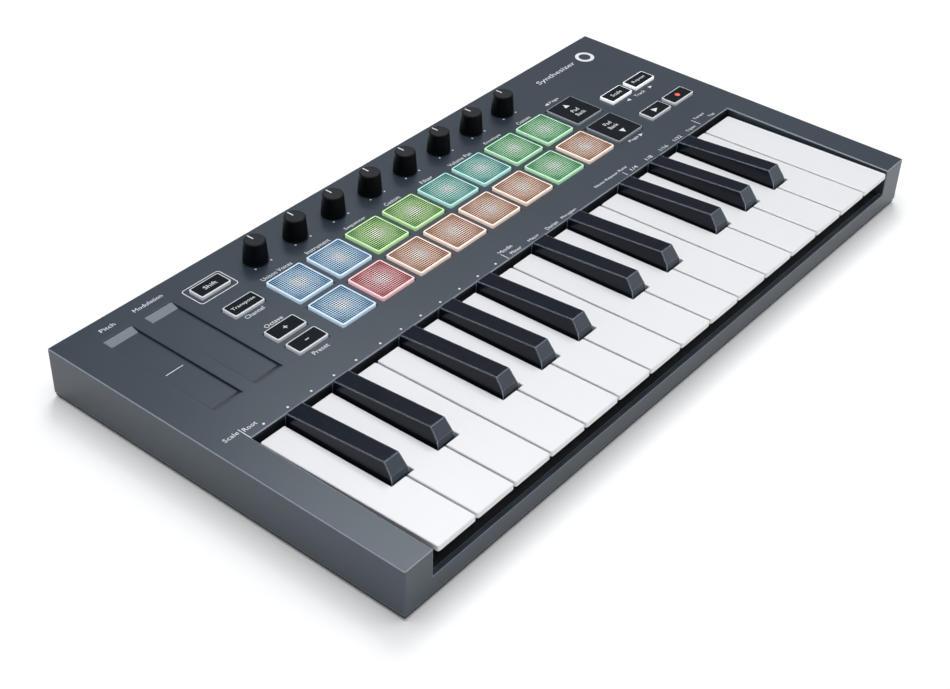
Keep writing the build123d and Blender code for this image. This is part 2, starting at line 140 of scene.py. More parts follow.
def moulded_plastic(name, dark, light, roughness=(0.4, 0.5), grain=0.00016, grain_depth=0.00002,
                    drift=0.03, specular=0.5, edge=0.0, edge_highlight_tint=None, edge_highlight_area=None,
                    slope_shading_tint=None, slope=(-0.5, -0.75), sheen=(1.0, 1.0, 1.0)):
    """Moulded plastic: a slow drift in its colour, a fine mould grain and uneven gloss. Where edge is given,
    corners are rounded by that much in the shading and carry a painted highlight in the edge tint. Where a
    slope tint is given, faces whose normal leans along Y, within the slope's range, have that tint as painted
    light or shade."""
    material, shader = new_material(name)
    vector = object_coordinates(material)
    cloud = add_node(material, "ShaderNodeTexNoise", Scale=1.0 / drift, Detail=3.0, Roughness=0.55)
    join(material, vector, cloud.inputs["Vector"])
    tint = add_node(material, "ShaderNodeValToRGB")
    tint.color_ramp.elements[0].position = 0.3
    tint.color_ramp.elements[1].position = 0.7
    tint.color_ramp.elements[0].color = linear(*dark)
    tint.color_ramp.elements[1].color = linear(*light)
    join(material, cloud.outputs["Fac"], tint.inputs["Fac"])
    body_colour = tint.outputs["Color"]
    # Painted light and shade: faces leaning along Y within the slope's range get a lighter or darker tint,
    # standing for how the light falls on them.
    if slope_shading_tint:
        facing = add_node(material, "ShaderNodeTexCoord")
        facing_parts = add_node(material, "ShaderNodeSeparateXYZ")
        join(material, facing.outputs["Normal"], facing_parts.inputs["Vector"])
        tilted = add_node(material, "ShaderNodeMapRange")
        tilted.inputs["From Min"].default_value = slope[0]
        tilted.inputs["From Max"].default_value = slope[1]
        join(material, facing_parts.outputs["Y"], tilted.inputs["Value"])
        slope_shading_mix = add_node(material, "ShaderNodeMix", data_type="RGBA")
        slope_shading_mix.inputs["B"].default_value = linear(*slope_shading_tint)
        join(material, tilted.outputs["Result"], slope_shading_mix.inputs["Factor"])
        join(material, body_colour, slope_shading_mix.inputs["A"])
        body_colour = slope_shading_mix.outputs["Result"]
    rounded = None
    # Painted highlight: near rounded edges the colour is mixed toward a light tint, standing for the light
    # the edges catch.
    if edge:
        rounded = add_node(material, "ShaderNodeBevel", samples=6)
        rounded.inputs["Radius"].default_value = edge
        flat = add_node(material, "ShaderNodeNewGeometry")
        agree = add_node(material, "ShaderNodeVectorMath", operation="DOT_PRODUCT")
        join(material, rounded.outputs["Normal"], agree.inputs[0])
        join(material, flat.outputs["True Normal"], agree.inputs[1])
        rim = add_node(material, "ShaderNodeMapRange")
        rim.inputs["From Min"].default_value = 0.995
        rim.inputs["From Max"].default_value = 0.955
        join(material, agree.outputs["Value"], rim.inputs["Value"])
        edge_highlight_mask = rim.outputs["Result"]
        if edge_highlight_area:
            # The moulded edge radius faces neither up nor sideways, so its upward share says where it is.
            leaning = add_node(material, "ShaderNodeSeparateXYZ")
            join(material, flat.outputs["True Normal"], leaning.inputs["Vector"])
            halfway = add_node(material, "ShaderNodeMath", operation="COMPARE")
            join(material, leaning.outputs["Z"], halfway.inputs[0])
            middle_lean, lean_range = 0.62, 0.34
            halfway.inputs[1].default_value = middle_lean
            halfway.inputs[2].default_value = lean_range
            edge_highlight_mask = join_chain(material, edge_highlight_mask, halfway.outputs["Value"], "MAXIMUM")
            edge_highlight_mask = join_chain(material, edge_highlight_mask, edge_highlight_area(material, vector))
        edge_highlight_mix = add_node(material, "ShaderNodeMix", data_type="RGBA")
        edge_highlight_mix.inputs["B"].default_value = linear(*edge_highlight_tint)
        join(material, edge_highlight_mask, edge_highlight_mix.inputs["Factor"])
        join(material, body_colour, edge_highlight_mix.inputs["A"])
        join(material, edge_highlight_mix.outputs["Result"], shader.inputs["Base Color"])
    else:
        join(material, body_colour, shader.inputs["Base Color"])
    fine = add_node(material, "ShaderNodeTexNoise", Scale=1.0 / (grain * 4.0), Detail=2.0)
    join(material, vector, fine.inputs["Vector"])
    gloss = add_node(material, "ShaderNodeMapRange")
    gloss.inputs["From Min"].default_value = 0.25
    gloss.inputs["From Max"].default_value = 0.75
    gloss.inputs["To Min"].default_value = roughness[0]
    gloss.inputs["To Max"].default_value = roughness[1]
    join(material, fine.outputs["Fac"], gloss.inputs["Value"])
    join(material, gloss.outputs["Result"], shader.inputs["Roughness"])
    pits = add_node(material, "ShaderNodeTexNoise", Scale=1.0 / (grain * 2.0), Detail=1.0)
    join(material, vector, pits.inputs["Vector"])
    bump = add_node(material, "ShaderNodeBump", Strength=0.35, Distance=grain_depth)
    join(material, pits.outputs["Fac"], bump.inputs["Height"])
    if rounded:
        join(material, rounded.outputs["Normal"], bump.inputs["Normal"])
    join(material, bump.outputs["Normal"], shader.inputs["Normal"])
    shader.inputs["Specular IOR Level"].default_value = specular
    shader.inputs["Specular Tint"].default_value = (*sheen, 1.0)
    return material


def finish_node(name, material):
    """Gives a part of the frame its finish in every material slot."""
    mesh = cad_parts[name].data
    if not mesh.materials:
        mesh.materials.append(material)
    for index in range(len(mesh.materials)):
        mesh.materials[index] = material


# The case's outline and the edges round the key opening carry a painted highlight in a lighter grey.
slate_plastic = moulded_plastic("slate_abs_plastic", (47, 56, 66), (51, 60, 70), roughness=(0.285, 0.305),
                                grain=0.00022, grain_depth=0.000005, drift=0.05,
                                edge=0.45 * MM, edge_highlight_tint=(142, 152, 162), edge_highlight_area=outer_edges,
                                sheen=(0.86, 0.94, 1.0))
finish_node("top_shell", slate_plastic)
panel_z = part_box("top_shell")[1].z

# ---------------------------------------------------------------- panel prints
# Light grey legends silk-screened on the panel: twelve dots above the lower keys, a pair
# of dots at each knob, rules, arrows and short function words, and a thin frame round the
# shift button. The ink stands a few hundredths of a millimetre up.
ink_height = 0.03 * MM

legend_ink, ink_shader = new_material("silk_screen_ink")
ink_speckle = add_node(legend_ink, "ShaderNodeTexNoise", Scale=9000.0, Detail=2.0)
join(legend_ink, object_coordinates(legend_ink), ink_speckle.inputs["Vector"])
ink_tint = add_node(legend_ink, "ShaderNodeValToRGB")
ink_tint.color_ramp.elements[0].color = linear(205, 210, 216)
ink_tint.color_ramp.elements[1].color = linear(236, 239, 243)
join(legend_ink, ink_speckle.outputs["Fac"], ink_tint.inputs["Fac"])
join(legend_ink, ink_tint.outputs["Color"], ink_shader.inputs["Base Color"])
ink_bump = add_node(legend_ink, "ShaderNodeBump", Strength=0.25, Distance=0.00001)
join(legend_ink, ink_speckle.outputs["Fac"], ink_bump.inputs["Height"])
join(legend_ink, ink_bump.outputs["Normal"], ink_shader.inputs["Normal"])
ink_shader.inputs["Roughness"].default_value = 0.48


def object_from(build, name, material, smooth_angle=None):
    """A new object whose mesh is what the bmesh holds, freed afterwards."""
    mesh = bpy.data.meshes.new(name)
    build.normal_update()
    build.to_mesh(mesh)
    build.free()
    piece = bpy.data.objects.new(name, mesh)
    bpy.context.scene.collection.objects.link(piece)
    mesh.materials.append(material)
    if smooth_angle is not None:
        mesh.polygons.foreach_set("use_smooth", [True] * len(mesh.polygons))
        mesh.set_sharp_from_angle(angle=math.radians(smooth_angle))
    return piece


def prism(build, outline, z_low, z_high):
    """Raises a counter-clockwise outline of (x, y) points, in metres, from one height to another."""
    low = [build.verts.new((x, y, z_low)) for x, y in outline]
    high = [build.verts.new((x, y, z_high)) for x, y in outline]
    count = len(outline)
    build.faces.new(high)
    build.faces.new(low[::-1])
    for i in range(count):
        j = (i + 1) % count
        build.faces.new((low[i], low[j], high[j], high[i]))


def box_outline(x, y, width, depth):
    """The corners of a rectangle round (x, y), counter-clockwise."""
    return [(x + across * width / 2, y + along * depth / 2)
            for across, along in ((-1, -1), (1, -1), (1, 1), (-1, 1))]


def round_outline(x, y, width, depth, radius, steps=5):
    """A rectangle with rounded corners round (x, y), counter-clockwise."""
    points = []
    for sx, sy, start in ((1, -1, -90), (1, 1, 0), (-1, 1, 90), (-1, -1, 180)):
        cx = x + sx * (width / 2 - radius)
        cy = y + sy * (depth / 2 - radius)
        for step in range(steps + 1):
            angle = math.radians(start + 90 * step / steps)
            points.append((cx + radius * math.cos(angle), cy + radius * math.sin(angle)))
    return points


def circle_outline(x, y, radius, steps):
    """The points of a circle round (x, y), counter-clockwise."""
    return [(x + radius * math.cos(math.tau * i / steps), y + radius * math.sin(math.tau * i / steps))
            for i in range(steps)]


def frame_strip(build, outer, inner, z_low, z_high):
    """A closed band between two outlines of as many points."""
    count = len(outer)
    rings = [[build.verts.new((x, y, z)) for x, y in line]
             for line, z in ((outer, z_low), (outer, z_high), (inner, z_high), (inner, z_low))]
    for a in range(4):
        first, second = rings[a], rings[(a + 1) % 4]
        for i in range(count):
            j = (i + 1) % count
            build.faces.new((first[i], first[j], second[j], second[i]))


def node_tree(name, sizes):
    """An empty Geometry Nodes tree with a geometry input and output and named number inputs."""
    tree = bpy.data.node_groups.new(name, "GeometryNodeTree")
    tree.interface.new_socket("Geometry", in_out="INPUT", socket_type="NodeSocketGeometry")
    for label, kind in sizes:
        tree.interface.new_socket(label, in_out="INPUT", socket_type=kind)
    tree.interface.new_socket("Geometry", in_out="OUTPUT", socket_type="NodeSocketGeometry")
    return tree, tree.nodes.new("NodeGroupInput"), tree.nodes.new("NodeGroupOutput")


def run_tree(points, tree, values, name, material):
    """Runs a tree on the given points and keeps the result as one plain mesh object."""
    seed_mesh = bpy.data.meshes.new(name + "_points")
    seed_mesh.from_pydata(points, [], [])
    carrier = bpy.data.objects.new(name + "_points", seed_mesh)
    bpy.context.scene.collection.objects.link(carrier)
    modifier = carrier.modifiers.new("nodes", "NODES")
    modifier.node_group = tree
    for item in tree.interface.items_tree:
        if item.item_type == "SOCKET" and item.in_out == "INPUT" and item.name in values:
            modifier[item.identifier] = values[item.name]
    bpy.context.view_layer.update()
    evaluated = carrier.evaluated_get(bpy.context.evaluated_depsgraph_get())
    mesh = bpy.data.meshes.new_from_object(evaluated)
    mesh.name = name
    carrier.modifiers.remove(modifier)
    bpy.data.objects.remove(carrier)
    piece = bpy.data.objects.new(name, mesh)
    bpy.context.scene.collection.objects.link(piece)
    if not mesh.materials:
        mesh.materials.append(material)
    return piece


def disc_tree(name, material):
    """Stamps a flat round dot of ink on each point."""
    tree, start, end = node_tree(name, (("Radius", "NodeSocketFloat"), ("Height", "NodeSocketFloat"),
                                        ("Sides", "NodeSocketInt")))
    dot = tree.nodes.new("GeometryNodeMeshCylinder")
    tree.links.new(start.outputs["Radius"], dot.inputs["Radius"])
    tree.links.new(start.outputs["Height"], dot.inputs["Depth"])
    tree.links.new(start.outputs["Sides"], dot.inputs["Vertices"])
    stamp = tree.nodes.new("GeometryNodeInstanceOnPoints")
    tree.links.new(start.outputs["Geometry"], stamp.inputs["Points"])
    tree.links.new(dot.outputs["Mesh"], stamp.inputs["Instance"])
    real = tree.nodes.new("GeometryNodeRealizeInstances")
    tree.links.new(stamp.outputs["Instances"], real.inputs["Geometry"])
    paint = tree.nodes.new("GeometryNodeSetMaterial")
    paint.inputs["Material"].default_value = material
    tree.links.new(real.outputs["Geometry"], paint.inputs["Geometry"])
    tree.links.new(paint.outputs["Geometry"], end.inputs["Geometry"])
    return tree


ink_dots = disc_tree("ink_dot_stamp", legend_ink)
print_z = panel_z + ink_height / 2
step_dot_y = -2.5 * MM
step_dot_x = [-143.3, -131.5, -119.7, -108.0, -96.3, -83.2, -71.7, -60.5, -49.1, -37.7, -26.5, -15.4]
step_dots = run_tree([(x * MM, step_dot_y, print_z) for x in step_dot_x], ink_dots,
                     {"Radius": 0.5 * MM, "Height": ink_height, "Sides": 12}, "arp_step_dots", legend_ink)
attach(step_dots, "case")

knob_x = [(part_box(f"knob_{i}")[0].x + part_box(f"knob_{i}")[1].x) / 2 for i in range(1, 9)]
knob_y = (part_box("knob_1")[0].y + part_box("knob_1")[1].y) / 2
range_reach = 4.3 * MM
range_points = [(x + side * range_reach, knob_y - range_reach, print_z) for x in knob_x for side in (-1, 1)]
knob_dots = run_tree(range_points, ink_dots, {"Radius": 0.42 * MM, "Height": ink_height, "Sides": 12},
                      "knob_range_dots", legend_ink)
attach(knob_dots, "case")


def printed_words(name, words, body):
    """Printed words as one flat mesh: each is (text, x, y, z, letter height, width), in metres."""
    build = bmesh.new()
    for text, x, y, z, height, width in words:
        curve = bpy.data.curves.new(name + "_text", "FONT")
        curve.body = text
        curve.size = 1.0
        curve.resolution_u = 2
        curve.align_x = "CENTER"
        curve.align_y = "CENTER"
        curve.extrude = 0.5
        written = bpy.data.objects.new(name + "_text", curve)
        bpy.context.scene.collection.objects.link(written)
        bpy.context.view_layer.update()
        evaluated = written.evaluated_get(bpy.context.evaluated_depsgraph_get())
        mesh = bpy.data.meshes.new_from_object(evaluated)
        low = Vector([min(v.co[a] for v in mesh.vertices) for a in range(3)])
        high = Vector([max(v.co[a] for v in mesh.vertices) for a in range(3)])
        stretch = height / (high.y - low.y)
        across = width / (high.x - low.x)
        middle = (low + high) / 2
        mesh.transform(Matrix.Translation((x, y, z)) @ Matrix.Diagonal((across, stretch, ink_height, 1.0))
                       @ Matrix.Translation((-middle.x, -middle.y, 0.0)))
        build.from_mesh(mesh)
        bpy.data.objects.remove(written)
        bpy.data.curves.remove(curve)
        bpy.data.meshes.remove(mesh)
    piece = object_from(build, name, legend_ink)
    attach(piece, body)


# Words on the open panel, over the pads and over the keys: text, x, y, letter height and width in mm.
word_rows = [("Pitch", -142.6, 79.3, 2.0, 6.8), ("Modulation", -122.6, 79.6, 2.0, 14.0),
             ("Octave", -99.8, 36.0, 2.1, 9.0), ("Channel", -100.2, 45.4, 2.1, 9.4),
             ("Preset", -100.0, 11.6, 2.1, 7.8),
             ("Scale", -155.6, 1.0, 2.0, 6.6), ("Root", -147.4, 0.2, 2.0, 6.0),
             ("Page", 103.5, 58.6, 2.0, 6.4), ("Page", 100.0, 11.7, 2.0, 6.6),
             ("Track", 135.6, 33.2, 1.9, 7.4), ("Synthesizer", 125.0, 73.2, 3.6, 28.0)]
pad_words = [("Unison Voices", -75.8, 16.0), ("Instrument", -52.9, 13.1), ("Sequencer", -30.8, 12.1),
             ("Custom", -8.5, 8.9), ("Filter", 13.4, 7.2), ("Volume Pan", 35.4, 14.4),
             ("Envelope", 58.0, 10.8), ("Custom", 80.0, 8.9)]
pad_word_y, pad_letter, key_letter = 58.0, 2.1, 1.9
word_rows += [(text, x, pad_word_y, pad_letter, width) for text, x, width in pad_words]
key_words = [("Mode", -5.2, 0.9, 7.9), ("Minor", -2.6, -2.6, 6.5), ("Major", 9.0, -2.6, 6.5),
             ("Dorian", 21.0, -2.6, 7.4), ("Phrygian", 32.7, -2.6, 9.5),
             ("Note Repeat Rate", 67.5, 0.9, 22.5), ("1/4", 80.0, -2.2, 4.3), ("1/8", 91.3, -2.2, 4.4),
             ("1/16", 102.5, -2.3, 5.6), ("1/32", 113.4, -2.3, 5.6), ("Triplet", 124.5, -2.3, 6.8),
             ("Tempo", 136.2, 1.2, 7.6), ("Tap", 141.2, -2.3, 4.2)]
word_rows += [(text, x, y, key_letter, width) for text, x, y, width in key_words]
printed_words("panel_words", [(text, x * MM, y * MM, print_z, height * MM, width * MM)
                              for text, x, y, height, width in word_rows], "case")

# Short rules beside the words over the keys, and small arrows beside "Page" and "Track".
marks = bmesh.new()
rule_width = 0.32 * MM
for x, y_low, y_high in ((-151.3, -4.2, 1.9), (-9.0, -4.1, 1.4), (73.7, -3.6, -0.6), (130.8, -3.3, 1.8)):
    prism(marks, box_outline(x * MM, (y_low + y_high) / 2 * MM, rule_width, (y_high - y_low) * MM),
          panel_z, panel_z + ink_height)
for x, y, way in ((98.2, 58.6, -1), (105.4, 11.6, 1), (127.0, 33.4, -1), (144.2, 33.2, 1)):
    half_length, half_height = 1.15 * way, 0.95
    tip = [(x - half_length, y - half_height), (x + half_length, y),
           (x - half_length, y + half_height)][::way]
    prism(marks, [(px * MM, py * MM) for px, py in tip], panel_z, panel_z + ink_height)
# A plain ring stands in the back right corner.
ring_x, ring_y = 147.0 * MM, 73.0 * MM
ring_outside, ring_inside = 4.6 * MM, 2.9 * MM
frame_strip(marks, circle_outline(ring_x, ring_y, ring_outside, 32),
            circle_outline(ring_x, ring_y, ring_inside, 32), panel_z, panel_z + ink_height)
panel_marks = object_from(marks, "panel_rules_and_arrows", legend_ink)
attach(panel_marks, "case")

shift_print = bmesh.new()
shift_low, shift_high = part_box("button_shift")
shift_x, shift_y = (shift_low.x + shift_high.x) / 2, (shift_low.y + shift_high.y) / 2
frame_room, frame_line, frame_corner = 2.4 * MM, 0.35 * MM, 1.5 * MM
frame_w = shift_high.x - shift_low.x + frame_room
frame_d = shift_high.y - shift_low.y + frame_room
frame_strip(shift_print, round_outline(shift_x, shift_y, frame_w, frame_d, frame_corner),
            round_outline(shift_x, shift_y, frame_w - 2 * frame_line, frame_d - 2 * frame_line,
                          frame_corner - frame_line), panel_z, panel_z + ink_height)
shift_frame = object_from(shift_print, "shift_frame_print", legend_ink)
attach(shift_frame, "case")

# ---------------------------------------------------------------- bottom shell
# The lower half is the same plastic in a darker grey with a coarser texture. Rubber feet
# are glued in its corners and steel self-tapping screws go up through it into the bosses
# of the top shell.
base_plastic = moulded_plastic("dark_grey_abs_plastic", (12, 14, 17), (17, 19, 22), roughness=(0.5, 0.65),
                               grain=0.0003, grain_depth=0.00004, drift=0.04)
finish_node("bottom_shell", base_plastic)
foot_rubber = moulded_plastic("black_foot_rubber", (20, 20, 21), (27, 27, 29), roughness=(0.75, 0.9),
                              grain=0.00012, grain_depth=0.00003, drift=0.01, specular=0.3)
finish_node("rubber_feet", foot_rubber)


def brushed_metal(name, dark, light):
    """Drawn or plated steel: fine lines along one way and uneven gloss."""
    roughness, grain = (0.25, 0.4), (3000.0, 400.0, 400.0)
    material, shader = new_material(name)
    lines = add_node(material, "ShaderNodeTexNoise", Scale=1.0, Detail=4.0)
    join(material, object_coordinates(material, scale=grain), lines.inputs["Vector"])
    tint = add_node(material, "ShaderNodeValToRGB")
    tint.color_ramp.elements[0].color = linear(*dark)
    tint.color_ramp.elements[1].color = linear(*light)
    join(material, lines.outputs["Fac"], tint.inputs["Fac"])
    join(material, tint.outputs["Color"], shader.inputs["Base Color"])
    gloss = add_node(material, "ShaderNodeMapRange")
    gloss.inputs["To Min"].default_value = roughness[0]
    gloss.inputs["To Max"].default_value = roughness[1]
    join(material, lines.outputs["Fac"], gloss.inputs["Value"])
    join(material, gloss.outputs["Result"], shader.inputs["Roughness"])
    bump = add_node(material, "ShaderNodeBump", Strength=0.2, Distance=0.00001)
    join(material, lines.outputs["Fac"], bump.inputs["Height"])
    join(material, bump.outputs["Normal"], shader.inputs["Normal"])
    shader.inputs["Metallic"].default_value = 1.0
    return material


screw_steel = brushed_metal("zinc_plated_screw_steel", (120, 122, 126), (168, 170, 174))
finish_node("case_screws", screw_steel)

# ---------------------------------------------------------------- white keys
# Fifteen white keys, moulded in glossy white ABS with a thin top plate and a short front
# apron. Each turns on the hinge rod at the back and is pushed up by its rubber dome.
key_white = moulded_plastic("white_key_plastic", (227, 227, 229), (229, 229, 231), roughness=(0.28, 0.32),
                            grain=0.0008, grain_depth=0.000002, drift=0.03)
for key in [f"key_{note}_{octave}" for octave in (1, 2) for note in "cdefgab"] + ["key_c_3"]:
    finish_node(key, key_white)

# ---------------------------------------------------------------- black keys
# Ten black keys, moulded in black ABS with a satin texture, a sloping front and thin
# bevelled edges. The edges carry a painted highlight, and the sloping front is painted lighter,
# standing for the light that falls on it.
key_black = moulded_plastic("black_key_plastic", (6, 14, 27), (9, 18, 32), roughness=(0.2, 0.25),
                            grain=0.0006, grain_depth=0.000001, drift=0.02, specular=0.26, edge=0.55 * MM,
                            edge_highlight_tint=(182, 192, 204), slope_shading_tint=(52, 61, 72))
for key in [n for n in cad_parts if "_sharp_" in n]:
    finish_node(key, key_black)

# ---------------------------------------------------------------- key bed
# Under the keys: the moulded key frame, a steel hinge rod, the key circuit board with its
# strip of silicone domes, and the felt that stops the keys.
chassis_plastic = moulded_plastic("black_chassis_plastic", (16, 19, 23), (22, 25, 30), roughness=(0.5, 0.65))
finish_node("key_frame", chassis_plastic)
finish_node("hinge_rod", brushed_metal("hinge_rod_steel", (150, 152, 156), (190, 192, 196)))
board_green = moulded_plastic("solder_mask_green", (18, 62, 40), (24, 76, 50), roughness=(0.3, 0.4),
                              grain=0.0003, drift=0.006)
finish_node("key_board", board_green)
finish_node("control_board", board_green)
dome_silicone = moulded_plastic("grey_dome_silicone", (120, 122, 124), (134, 136, 138), roughness=(0.5, 0.6))
finish_node("key_contact_strip", dome_silicone)
stop_felt = moulded_plastic("dark_stop_felt", (20, 21, 24), (30, 31, 34), roughness=(0.9, 1.0), grain=0.00012,
                            grain_depth=0.0001, drift=0.002, specular=0.1)
finish_node("key_stop_felt", stop_felt)

# A dark strip along the back of the key opening, clear of the keys, is painted shade: it stands for the
# shadow in the slot and has the stop felt's material.
shade_strip_mesh = bmesh.new()
shade_strip_front, shade_strip_back, shade_strip_length = -5.25 * MM, -4.6 * MM, 302.0 * MM
shade_strip_bottom, shade_strip_top = panel_z - 7.0 * MM, panel_z - 0.45 * MM
prism(shade_strip_mesh, box_outline(0.0, (shade_strip_front + shade_strip_back) / 2, shade_strip_length, shade_strip_back - shade_strip_front),
      shade_strip_bottom, shade_strip_top)
key_slot_shade_strip = object_from(shade_strip_mesh, "key_slot_shade_strip", stop_felt)
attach(key_slot_shade_strip, "case")

# ---------------------------------------------------------------- control board parts
# The knobs' potentiometers and the buttons' switches are soldered on the control board
# under the panel.
finish_node("potentiometers", brushed_metal("pot_body_metal", (130, 132, 136), (160, 162, 166)))
finish_node("button_switches", moulded_plastic("switch_plastic", (30, 30, 32), (40, 40, 42)))

# ---------------------------------------------------------------- silicone pads
# Sixteen square pads of one silicone mat stand through the panel. Each is milky and lit
# from below by a coloured lamp: a soft rim glows round a sunken face printed with a close
# lattice of dark dots.
pad_low, pad_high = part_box("pad_mat")
pad_pitch = 22.15 * MM
pad_first_x = -75.8 * MM
pad_rows = (45.55 * MM, 23.4 * MM)
pad_size = 18.8 * MM
pad_top = pad_high.z
pad_foot = panel_z - 2.0 * MM
pad_rim = 0.75 * MM
pad_corner = 1.2 * MM
pad_edge = 0.35 * MM
face_z = pad_top - 0.12 * MM
face_corner = 0.6 * MM
dot_height = 0.04 * MM
lattice_pitch = 1.02 * MM
lattice_dots = 17
lattice_radius = 0.42 * MM

# For each colour: the face far from the lamp, half way, over the lamp, then the rim and the dots.
glow_colours = {
    "blue": ((122, 166, 202), (190, 222, 244), (248, 253, 255), (182, 208, 232), (6, 20, 38)),
    "red": ((196, 106, 112), (240, 178, 180), (255, 238, 236), (240, 180, 184), (48, 6, 10)),
    "lime": ((128, 178, 104), (192, 230, 162), (244, 254, 230), (170, 218, 144), (8, 32, 6)),
    "teal": ((100, 172, 160), (172, 228, 218), (240, 254, 252), (156, 216, 206), (2, 30, 26)),
    "green": ((102, 174, 120), (174, 230, 184), (238, 254, 240), (162, 220, 174), (4, 30, 12)),
    "peach": ((194, 148, 122), (240, 206, 186), (255, 246, 240), (244, 214, 198), (48, 22, 10)),
}
back_row = ["blue", "blue", "lime", "lime", "teal", "teal", "green", "green"]
front_row = ["blue", "red", "peach", "peach", "peach", "peach", "green", "peach"]


def glowing_silicone(name, tints, x, y):
    """Milky silicone lit from below, brightest over the lamp at (x, y) and fading to its corners."""
    material, shader = new_material(name)
    centre = add_node(material, "ShaderNodeVectorMath", operation="DISTANCE")
    centre.inputs[1].default_value = (x, y, pad_top)
    join(material, object_coordinates(material), centre.inputs[0])
    spread = add_node(material, "ShaderNodeMapRange")
    spread.inputs["From Min"].default_value = 0.0
    spread.inputs["From Max"].default_value = pad_size * 0.62
    join(material, centre.outputs["Value"], spread.inputs["Value"])
    cloud = add_node(material, "ShaderNodeTexNoise", Scale=300.0, Detail=3.0)
    join(material, object_coordinates(material), cloud.inputs["Vector"])
    uneven = add_node(material, "ShaderNodeMath", operation="MULTIPLY_ADD")
    uneven.inputs[1].default_value = 0.16
    join(material, cloud.outputs["Fac"], uneven.inputs[0])
    join(material, spread.outputs["Result"], uneven.inputs[2])
    ramp = add_node(material, "ShaderNodeValToRGB")
    ramp.color_ramp.interpolation = "EASE"
    ramp.color_ramp.elements[0].position = 0.12
    ramp.color_ramp.elements[0].color = linear(*tints[2])
    ramp.color_ramp.elements[1].position = 1.0
    ramp.color_ramp.elements[1].color = linear(*tints[0])
    middle = ramp.color_ramp.elements.new(0.58)
    middle.color = linear(*tints[1])
    join(material, uneven.outputs["Value"], ramp.inputs["Fac"])
    join(material, ramp.outputs["Color"], shader.inputs["Base Color"])
    join(material, ramp.outputs["Color"], shader.inputs["Emission Color"])
    shader.inputs["Emission Strength"].default_value = 0.06
    shader.inputs["Roughness"].default_value = 0.42
    shader.inputs["Specular IOR Level"].default_value = 0.3
    grain = add_node(material, "ShaderNodeTexNoise", Scale=4200.0, Detail=2.0)
    join(material, object_coordinates(material), grain.inputs["Vector"])
    bump = add_node(material, "ShaderNodeBump", Strength=0.2, Distance=0.00001)
    join(material, grain.outputs["Fac"], bump.inputs["Height"])
    join(material, bump.outputs["Normal"], shader.inputs["Normal"])
    return material


def lit_cap(name, rim, glow):
    """Translucent plastic or silicone: slightly uneven, glowing by as much as its lamp is on."""
    material, shader = new_material(name)
    cloud = add_node(material, "ShaderNodeTexNoise", Scale=500.0, Detail=3.0)
    join(material, object_coordinates(material), cloud.inputs["Vector"])
    ramp = add_node(material, "ShaderNodeValToRGB")
    ramp.color_ramp.elements[0].position = 0.3
    ramp.color_ramp.elements[0].color = linear(*[c - 6 for c in rim])
    ramp.color_ramp.elements[1].position = 0.7
    ramp.color_ramp.elements[1].color = linear(*rim)
    join(material, cloud.outputs["Fac"], ramp.inputs["Fac"])
    join(material, ramp.outputs["Color"], shader.inputs["Base Color"])
    join(material, ramp.outputs["Color"], shader.inputs["Emission Color"])
    shader.inputs["Emission Strength"].default_value = glow
    shader.inputs["Roughness"].default_value = 0.34
    grain = add_node(material, "ShaderNodeTexNoise", Scale=5000.0, Detail=2.0)
    join(material, object_coordinates(material), grain.inputs["Vector"])
    bump = add_node(material, "ShaderNodeBump", Strength=0.15, Distance=0.00001)
    join(material, grain.outputs["Fac"], bump.inputs["Height"])
    join(material, bump.outputs["Normal"], shader.inputs["Normal"])
    return material


rim_silicone, dot_silicone = {}, {}
for colour, tints in glow_colours.items():
    pale_rim = tuple(c + (255 - c) // 5 for c in tints[3])
    rim_silicone[colour] = lit_cap(f"pad_rim_{colour}", pale_rim, 0.34)
    lighter_dot = tuple(c + 8 for c in tints[4])
    dot_silicone[colour] = moulded_plastic(f"pad_dots_{colour}", tints[4], lighter_dot, roughness=(0.4, 0.5),
                                           drift=0.001, specular=0.15)


def cap_shell(build, x, y, width, depth, corner, z_low, z_top, edge):
    """A block with rounded corners and a rounded top edge, open on top; returns its last ring of points."""
    steps = 5
    rings = [(0.0, z_low)]
    for step in range(steps + 1):
        angle = math.radians(90 * step / steps)
        rings.append((edge * (1 - math.cos(angle)), z_top - edge + edge * math.sin(angle)))
    made = []
    for inset, z in rings:
        line = round_outline(x, y, width - 2 * inset, depth - 2 * inset, max(corner - inset, 0.05 * MM))
        made.append([build.verts.new((px, py, z)) for px, py in line])
    count = len(made[0])
    for first, second in zip(made, made[1:]):
        for i in range(count):
            j = (i + 1) % count
            build.faces.new((first[i], first[j], second[j], second[i]))
    build.faces.new(made[0][::-1])
    return made[-1]


# The mat's own sheet lies under the panel and joins the sixteen pads.
sheet = bmesh.new()
sheet_left, sheet_right, sheet_front, sheet_back = -88.0 * MM, 90.3 * MM, 11.5 * MM, 57.5 * MM
sheet_corner, sheet_bottom, sheet_top = 1.5 * MM, pad_low.z + 0.02 * MM, pad_low.z + 1.0 * MM
prism(sheet, round_outline((sheet_left + sheet_right) / 2, (sheet_front + sheet_back) / 2,
                           sheet_right - sheet_left, sheet_back - sheet_front, sheet_corner),
      sheet_bottom, sheet_top)
mat_sheet = object_from(sheet, "pad_mat_sheet", rim_silicone["blue"])
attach(mat_sheet, "case")
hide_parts("pad_mat")

